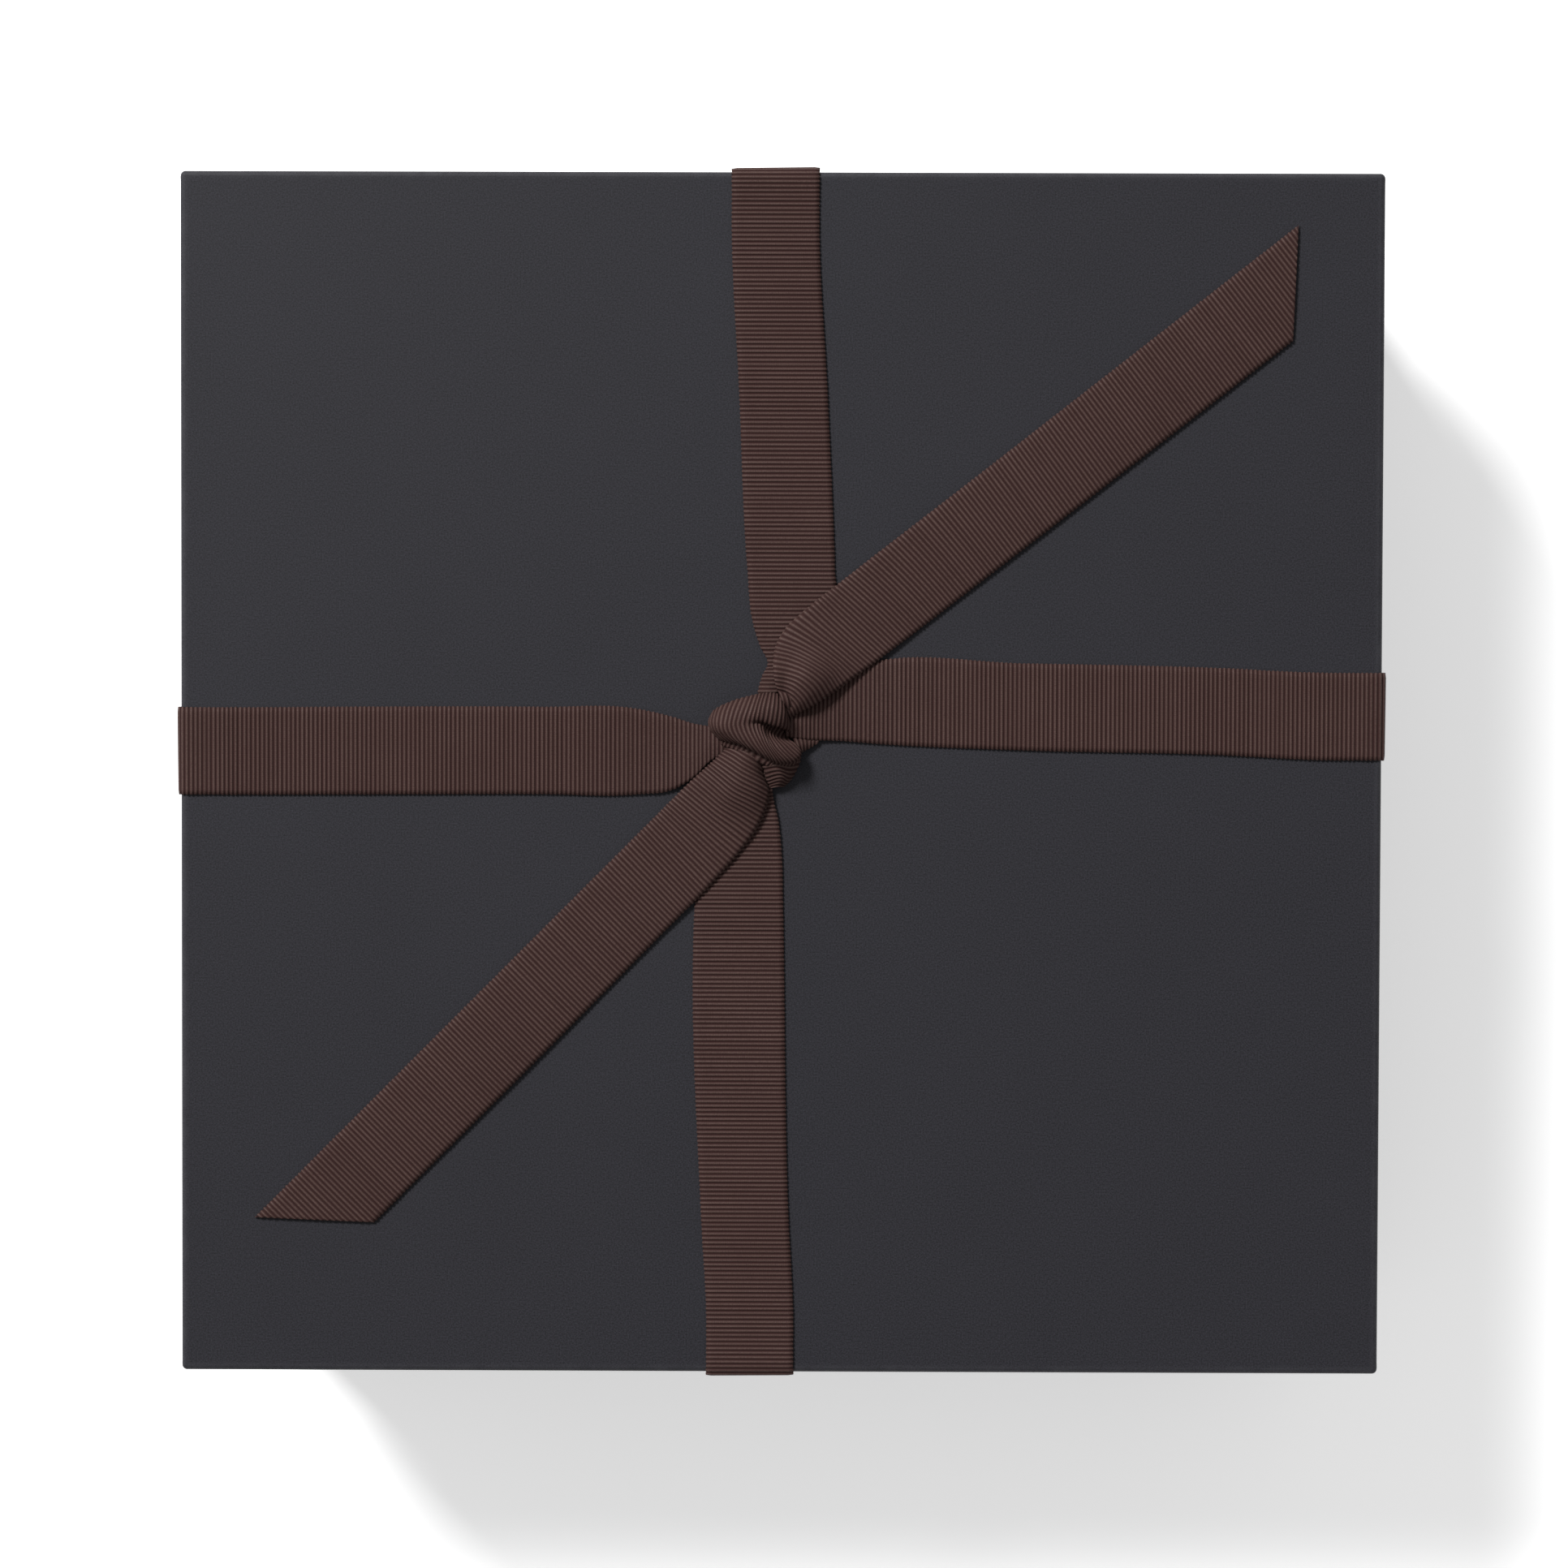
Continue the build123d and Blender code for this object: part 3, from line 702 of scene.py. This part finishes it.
# The band drawn over the front of the knot, from its left end to its right end. Each station runs from
# the upper selvedge, over the upper roll, through the crease and over the lower roll to the fold, where
# the ribbon turns under.
KNOT_BAND = [
    (
        (-11.8, 4.7, 1.4), (-11.9, 3.9, 1.9), (-11.8, 3.2, 2.1), (-11.5, 2.6, 2.1),
        (-11.1, 1.9, 2.0), (-10.6, 1.3, 1.8), (-9.6, 0.2, 1.4), (-9.0, -0.6, 1.0),
    ),
    (
        (-10.0, 7.3, 3.9), (-10.6, 5.5, 6.0), (-10.8, 4.4, 6.6), (-10.7, 3.4, 6.8),
        (-10.4, 2.4, 6.6), (-9.7, 1.3, 6.0), (-7.9, -0.4, 4.7), (-8.2, -1.6, 2.8),
    ),
    (
        (-5.8, 9.25, 4.9), (-6.9, 6.6, 8.1), (-7.3, 4.9, 8.8), (-7.5, 3.5, 9.0),
        (-7.3, 2.3, 8.9), (-6.5, 0.9, 8.4), (-4.0, -1.15, 6.7), (-4.9, -2.9, 4.0),
    ),
    (
        (-2.6, 10.2, 5.3), (-3.9, 7.0, 8.8), (-4.5, 5.1, 9.3), (-4.8, 3.6, 9.4),
        (-4.5, 2.3, 9.4), (-3.4, 0.2, 9.2), (-1.0, -2.65, 7.1), (-1.9, -4.3, 4.4),
    ),
    (
        (-0.2, 10.8, 5.4), (-1.4, 7.3, 9.0), (-2.1, 5.2, 9.3), (-2.4, 3.8, 9.1),
        (-2.1, 2.3, 9.3), (-0.5, -0.7, 9.6), (2.4, -4.5, 7.3), (1.4, -5.9, 4.5),
    ),
    (
        (2.6, 11.1, 5.4), (1.7, 7.6, 9.1), (1.2, 4.9, 8.6), (0.8, 4.2, 7.0),
        (0.7, 3.4, 7.6), (2.0, -0.6, 9.5), (5.2, -5.7, 7.1), (4.3, -6.8, 4.5),
    ),
    (
        (4.9, 11.0, 5.2), (4.7, 7.4, 8.8), (4.0, 3.7, 7.7), (3.1, 3.6, 4.6),
        (2.5, 2.7, 5.2), (3.9, -1.7, 9.0), (7.6, -5.75, 7.0), (7.0, -6.6, 4.2),
    ),
    (
        (6.3, 9.6, 4.5), (6.7, 6.4, 7.4), (6.2, 3.1, 6.2), (5.0, 2.9, 3.0),
        (4.2, 1.8, 3.5), (6.2, -2.1, 7.8), (9.5, -5.4, 6.1), (9.1, -6.2, 3.8),
    ),
    (
        (7.2, 6.8, 3.0), (7.7, 4.8, 4.6), (7.7, 2.4, 3.8), (6.8, 2.1, 2.0),
        (5.9, 0.8, 2.3), (8.2, -2.0, 5.9), (10.6, -4.3, 5.0), (10.4, -5.1, 3.2),
    ),
    (
        (7.6, 4.5, 1.7), (8.1, 3.2, 2.2), (8.4, 1.9, 1.9), (8.3, 1.0, 1.1),
        (8.2, 0.1, 1.4), (9.8, -1.4, 3.8), (10.9, -2.8, 3.6), (10.8, -3.5, 2.4),
    ),
]
# The fold of ribbon that comes down from under the band: right edge, slope, crest and left edge
KNOT_LOBE = [
    ((10.9, -4.2, 2.8), (8.2, -3.8, 4.8), (3.8, -3.8, 5.4), (1.0, -4.6, 3.8)),
    ((10.6, -6.0, 2.3), (8.0, -6.2, 4.4), (4.5, -5.8, 5.8), (1.5, -6.3, 4.0)),
    ((9.8, -7.8, 1.7), (7.9, -8.0, 3.8), (5.2, -7.3, 5.5), (2.0, -8.0, 3.8)),
    ((8.9, -9.6, 1.1), (7.8, -9.7, 2.8), (6.0, -8.8, 4.6), (2.4, -9.8, 3.0)),
    ((7.8, -10.9, 0.8), (7.1, -10.9, 1.8), (6.2, -10.4, 3.2), (2.8, -11.3, 2.1)),
    ((6.6, -11.9, 0.7), (6.0, -11.9, 1.2), (5.2, -12.0, 1.7), (3.0, -12.5, 1.2)),
]
# The right arm's lower corner, folded forward out of the knot
KNOT_FLAP = [
    ((9.0, 0.1, 2.8), (9.8, -1.8, 3.2), (10.3, -3.7, 2.6)),
    ((11.6, -0.2, 1.8), (11.8, -1.4, 2.2), (11.8, -3.0, 1.5)),
    ((13.9, -0.3, 1.1), (13.8, -1.0, 1.3), (13.7, -2.0, 1.0)),
    ((15.6, -0.4, 0.9), (15.5, -0.6, 0.9), (15.3, -0.9, 0.8)),
]
# The turn of ribbon between the band and the back tail
KNOT_TURN = [
    ((5.1, 12.0, 5.6), (6.0, 10.0, 6.4), (6.8, 7.6, 4.4)),
    ((6.8, 11.4, 6.2), (7.4, 9.4, 6.4), (7.9, 6.5, 3.8)),
    ((8.6, 10.9, 5.6), (9.0, 8.9, 5.2), (9.2, 6.4, 3.0)),
    ((10.4, 10.4, 4.0), (10.6, 8.6, 3.6), (10.8, 6.6, 2.0)),
]


def arm_net(name):
    """The arm's stations, from inside the knot to its taped end inside the lid."""
    turn = Matrix.Rotation(math.radians(ARM_TURNS[name]), 3, "Z")
    sideways = name in ("left", "right")
    half = (LID_HIGH.x if sideways else LID_HIGH.y) / MM
    top = LID_TOP / MM
    rim = LID_RIM / MM
    lining = (LINING_HIGH.x if sideways else LINING_HIGH.y) / MM
    inside = lining - TAB_DEPTH
    rows = []
    for out, *places in ARM_STATIONS[name]:
        rows.append([(out, off, top + rise) for off, rise in zip(places[:3], places[3:])])
    centre = ARM_EDGE_CENTRES[name]
    left_bow, right_bow = ARM_BOWS[name]
    # Distance past the lid's side, height, and how far the bow over the edge shows there
    route = [
        (half - 14.0, top + LIE, 0.0),
        (half - 5.0, top + LIE + 0.05, 0.0),
        (half - 2.2, top + LIE + 0.12, 0.0),
        (half - 0.75, top + 0.22, 0.2),
        (half + 0.05, top - 0.5, 0.6),
        (half + 0.3, top - 1.8, 0.9),
        (half + 0.36, top - 4.0, 1.0),
        (half + 0.36, top - 9.0, 0.5),
        (half + 0.36, top - 16.0, 0.1),
        (half + 0.36, rim + 3.0, 0.0),
        (half + 0.34, rim + 0.5, 0.0),
        (half - 0.1, rim - 0.3, 0.0),
        (half - 1.3, rim - 0.36, 0.0),
        (inside + 0.25, rim - 0.28, 0.0),
        (inside + 0.08, rim + 0.6, 0.0),
        (inside, rim + 6.0, 0.0),
        (inside, rim + 17.5, 0.0),
    ]
    middle_bow = (left_bow + right_bow) / 2
    edges = ((LAID_HALF_WIDTH, left_bow), (0.0, middle_bow), (-LAID_HALF_WIDTH, right_bow))
    for out, height, share in route:
        rows.append([(out + share * bow, centre + off, height) for off, bow in edges])
    return [[tuple(turn @ Vector(point)) for point in row] for row in rows]


def tail_ways(name):
    """The tail's direction along the lid, and the direction to its left."""
    heading = math.radians(TAIL_HEADINGS[name])
    along = Vector((math.cos(heading), math.sin(heading), 0))
    return along, Vector((-along.y, along.x, 0))


def tail_net(name):
    """The tail's stations in the object's own frame."""
    along, left = tail_ways(name)
    up = Vector((0, 0, 1))
    base = up * (LID_TOP / MM)
    net = []
    for row in TAIL_STATIONS[name]:
        points = [base + along * a + left * b + up * c for a, b, c in row]
        if len(points) == 3:
            # Two more points on the parabola through the three
            first, middle, last = points
            near = (first * 3 + middle * 6 - last) / 8
            far = (last * 3 + middle * 6 - first) / 8
            points = [first, near, middle, far, last]
        net.append([tuple(point) for point in points])
    return net


def tail_cut(name):
    """The upright plane of the tail's slant cut: a point on it, in millimetres, and its way out."""
    along, left = tail_ways(name)
    row = TAIL_STATIONS[name][-1]
    left_end = along * TAIL_CUTS[name][0] + left * row[0][1]
    right_end = along * TAIL_CUTS[name][1] + left * row[-1][1]
    line = left_end - right_end
    outward = Vector((line.y, -line.x, 0)).normalized()
    if outward.dot(along) < 0:
        outward = -outward
    return tuple(left_end + Vector((0, 0, LID_TOP / MM))), tuple(outward)


# ---------------------------------------------------------------- operators


CAMERA_PLACE = (0.0048, 0.0246)
CAMERA_TURN = (-1.616, 0.245, 0.172)
SENSOR_WIDTH = 36.0
KEY_PLACE = (-3.0, 3.7, 4.6)
KEY_SIZE = 1.7
FLOOR_HALF = 12.0
WORLD_STRENGTH = 0.38


def soft_light(name, place, size, power):
    """A square soft light aimed at the box."""
    light = bpy.data.lights.new(name, "AREA")
    light.size = size
    light.energy = power
    holder = bpy.data.objects.new(name, light)
    holder.location = place
    aim = Vector((0, 0, LID_TOP)) - Vector(place)
    holder.rotation_euler = aim.to_track_quat("-Z", "Y").to_euler()
    bpy.context.scene.collection.objects.link(holder)


class GIFTBOX_OT_stage(bpy.types.Operator):
    """Make the camera, the soft studio light and the pale floor"""

    bl_idname = "giftbox.stage"
    bl_label = "Studio"

    def execute(self, context):
        scene = context.scene
        studio = scene.giftbox_studio
        camera = bpy.data.cameras.new("camera")
        camera.lens = studio.lens
        camera.sensor_width = SENSOR_WIDTH
        camera.clip_start = 0.01
        camera.clip_end = 50
        camera_object = bpy.data.objects.new("camera", camera)
        camera_object.location = (*CAMERA_PLACE, LID_TOP + studio.camera_height)
        camera_object.rotation_euler = [math.radians(angle) for angle in CAMERA_TURN]
        scene.collection.objects.link(camera_object)
        scene.camera = camera_object

        soft_light("key", KEY_PLACE, KEY_SIZE, studio.key_power)

        mesh = bmesh.new()
        bmesh.ops.create_grid(mesh, x_segments=2, y_segments=2, size=FLOOR_HALF)
        mesh_piece("studio_floor", mesh, floor_material(studio.floor))

        world = bpy.data.worlds.new("studio")
        world.use_nodes = True
        background = world.node_tree.nodes["Background"]
        background.inputs["Color"].default_value = (1.0, 1.0, 1.0, 1)
        background.inputs["Strength"].default_value = WORLD_STRENGTH
        scene.world = world
        scene.view_settings.view_transform = "Standard"
        return {"FINISHED"}


COVER_NAMES = {"lid": "Soft black paper, lid", "base": "Soft black paper, base"}
# Mottle, tooth in cells per metre, dust, roughness, and relief in metres
COVER_PAPER = (0.3, 2600.0, 1.0, 0.58, 0.02 * MM)
LINING_PAPER = (0.25, 1800.0, 0.4, 0.72, 0.03 * MM)
GREYBOARD = (0.9, 1500.0, 0.0, 0.85, 0.08 * MM)
STAY_TAPE = (0.5, 2200.0, 0.0, 0.7, 0.03 * MM)
PATCH_TAPE = (0.3, 3000.0, 0.3, 0.45, 0.02 * MM)
STAY_TAPE_COLOUR = (0.42, 0.28, 0.15)
PATCH_TAPE_COLOUR = (0.022, 0.022, 0.024)


class GIFTBOX_OT_paper(bpy.types.Operator):
    """Give the board, tape, covering paper and linings their materials"""

    bl_idname = "giftbox.paper"
    bl_label = "Board and paper"

    def execute(self, context):
        finish = context.scene.giftbox_paper
        covers = {
            body: paper_material(COVER_NAMES[body], finish.cover, *COVER_PAPER, finish.worn_and_highlit, block)
            for body, block in (("lid", (LID_LOW, LID_HIGH)), ("base", (BASE_LOW, BASE_HIGH)))
        }
        by_slot = {
            "lining_paper": paper_material("Lining paper", finish.lining, *LINING_PAPER),
            "greyboard": paper_material("Greyboard", finish.board, *GREYBOARD),
            "stay_tape": paper_material("Kraft stay tape", STAY_TAPE_COLOUR, *STAY_TAPE),
            "patch_tape": paper_material("Black patch tape", PATCH_TAPE_COLOUR, *PATCH_TAPE),
        }
        for subpart in frame["record"]["subparts"]:
            slot = subpart["material_slot"]
            if slot == "ribbon":
                continue
            if slot == "wrap_paper":
                material = covers["lid" if subpart["node"].startswith("lid") else "base"]
            else:
                material = by_slot[slot]
            node = frame["nodes"][subpart["node"]]
            node.data.materials.clear()
            node.data.materials.append(material)
        return {"FINISHED"}


LAP_WIDTH = 11.0 * MM
LAP_THICKNESS = 0.1 * MM
LAP_SLANT = 2.4 * MM
LAP_EDGE = 1.3 * MM
LAP_FOOT = 0.6 * MM
LAP_ROUND = 0.08 * MM


def corner_laps(name, low, high, body):
    """The flaps of covering paper glued round a tray's upright corners, on its left and right sides."""
    height = high.z - low.z - LAP_EDGE - LAP_FOOT
    mesh = bmesh.new()
    for side in (-1, 1):
        for end in (-1, 1):
            made = bmesh.ops.create_cube(mesh, size=1.0)["verts"]
            bmesh.ops.scale(mesh, verts=made, vec=(LAP_THICKNESS, LAP_WIDTH, height))
            middle = Vector((
                side * (high.x + LAP_THICKNESS * 0.3),
                end * (high.y - LAP_EDGE - LAP_WIDTH / 2),
                low.z + LAP_FOOT + height / 2,
            ))
            bmesh.ops.translate(mesh, verts=made, vec=middle)
            free = [vertex for vertex in made if end * vertex.co.y < end * middle.y]
            for vertex in free:
                vertex.co.z += LAP_SLANT if vertex.co.z < middle.z else -LAP_SLANT
            outer = [vertex for vertex in made if side * vertex.co.x > side * middle.x]
            rim = [item for item in mesh.edges if all(vertex in outer for vertex in item.verts)]
            bmesh.ops.bevel(
                mesh, geom=rim, offset=LAP_ROUND, offset_type="OFFSET", segments=2, profile=0.5,
                affect="EDGES", material=-1
            )
    bmesh.ops.recalc_face_normals(mesh, faces=mesh.faces[:])
    piece = mesh_piece(name, mesh, bpy.data.materials[COVER_NAMES[body]])
    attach(piece, body)


class GIFTBOX_OT_corner_laps(bpy.types.Operator):
    """Glue the covering paper's corner flaps down on both trays"""

    bl_idname = "giftbox.corner_laps"
    bl_label = "Corner flaps"

    def execute(self, context):
        corner_laps("lid_corner_flaps", LID_LOW, LID_HIGH, "lid")
        corner_laps("base_corner_flaps", BASE_LOW, BASE_HIGH, "base")
        return {"FINISHED"}


class GIFTBOX_OT_ribbon_arms(bpy.types.Operator):
    """Lay the four ribbon arms from the knot over the lid's edges and under its rim"""

    bl_idname = "giftbox.ribbon_arms"
    bl_label = "Ribbon arms"

    def execute(self, context):
        sizes = context.scene.giftbox_ribbon
        material = ribbon_material(sizes)
        for seed, name in enumerate(ARM_STATIONS):
            node = "ribbon_arm_" + name
            piece, length = ribbon_piece(node + "_woven", arm_net(name), sizes, material, seed=seed)
            finish_ribbon(piece, [node])
        return {"FINISHED"}


class GIFTBOX_OT_ribbon_tails(bpy.types.Operator):
    """Lay the two loose tails out from the knot and cut their ends on the slant"""

    bl_idname = "giftbox.ribbon_tails"
    bl_label = "Ribbon tails"

    def execute(self, context):
        sizes = context.scene.giftbox_ribbon
        material = ribbon_material(sizes)
        for seed, name in enumerate(TAIL_STATIONS, start=10):
            node = "ribbon_tail_" + name
            cut = tail_cut(name)
            piece, _ = ribbon_piece(node + "_woven", tail_net(name), sizes, material, cut=cut, seed=seed)
            finish_ribbon(piece, [node])
        return {"FINISHED"}


class GIFTBOX_OT_ribbon_knot(bpy.types.Operator):
    """Tie the knot from its band, folds and turn"""

    bl_idname = "giftbox.ribbon_knot"
    bl_label = "Knot"

    def execute(self, context):
        sizes = context.scene.giftbox_ribbon
        material = ribbon_material(sizes)
        parts = [
            ("ribbon_knot_band_woven", [whole_band(row) for row in KNOT_BAND], 72),
            ("ribbon_knot_lobe", KNOT_LOBE, 16),
            ("ribbon_knot_flap", KNOT_FLAP, 10),
            ("ribbon_knot_turn", KNOT_TURN, 10),
        ]
        made = []
        for seed, (name, net, across_steps) in enumerate(parts, start=20):
            stations = [[at_knot(*point) for point in row] for row in net]
            made.append(ribbon_piece(name, stations, sizes, material, across_steps, seed=seed))
        band, length = made[0]
        folds = [fold for fold, _ in made[1:]]
        nodes = ["ribbon_knot_band", "ribbon_knot_core"]
        finish_ribbon(band, nodes, folds)
        return {"FINISHED"}


class GIFTBOX_PT_panel(bpy.types.Panel):
    """The pieces of the gift box, in the order they are made"""

    bl_idname = "GIFTBOX_PT_panel"
    bl_label = "Gift Box"
    bl_space_type = "VIEW_3D"
    bl_region_type = "UI"
    bl_category = "Gift Box"

    def draw(self, context):
        layout = self.layout
        scene = context.scene
        for group in (scene.giftbox_ribbon, scene.giftbox_paper, scene.giftbox_studio):
            box = layout.box()
            for name in group.__annotations__:
                box.prop(group, name)
        for operator in OPERATORS:
            layout.operator(operator.bl_idname)


OPERATORS = (
    GIFTBOX_OT_stage,
    GIFTBOX_OT_paper,
    GIFTBOX_OT_corner_laps,
    GIFTBOX_OT_ribbon_arms,
    GIFTBOX_OT_ribbon_tails,
    GIFTBOX_OT_ribbon_knot,
)
GROUPS = (RibbonSizes, PaperFinish, StudioSettings)
CLASSES = GROUPS + OPERATORS + (GIFTBOX_PT_panel,)


def register():
    """Add the classes and hang the settings on the scene."""
    for item in CLASSES:
        bpy.utils.register_class(item)
    bpy.types.Scene.giftbox_ribbon = bpy.props.PointerProperty(type=RibbonSizes)
    bpy.types.Scene.giftbox_paper = bpy.props.PointerProperty(type=PaperFinish)
    bpy.types.Scene.giftbox_studio = bpy.props.PointerProperty(type=StudioSettings)


def unregister():
    """Take the settings and classes away again."""
    del bpy.types.Scene.giftbox_studio
    del bpy.types.Scene.giftbox_paper
    del bpy.types.Scene.giftbox_ribbon
    for item in reversed(CLASSES):
        bpy.utils.unregister_class(item)


def main():
    """Make every piece in order."""
    register()
    bpy.ops.giftbox.stage()
    bpy.ops.giftbox.paper()
    bpy.ops.giftbox.corner_laps()
    bpy.ops.giftbox.ribbon_arms()
    bpy.ops.giftbox.ribbon_tails()
    bpy.ops.giftbox.ribbon_knot()


if __name__ == "__main__":
    main()
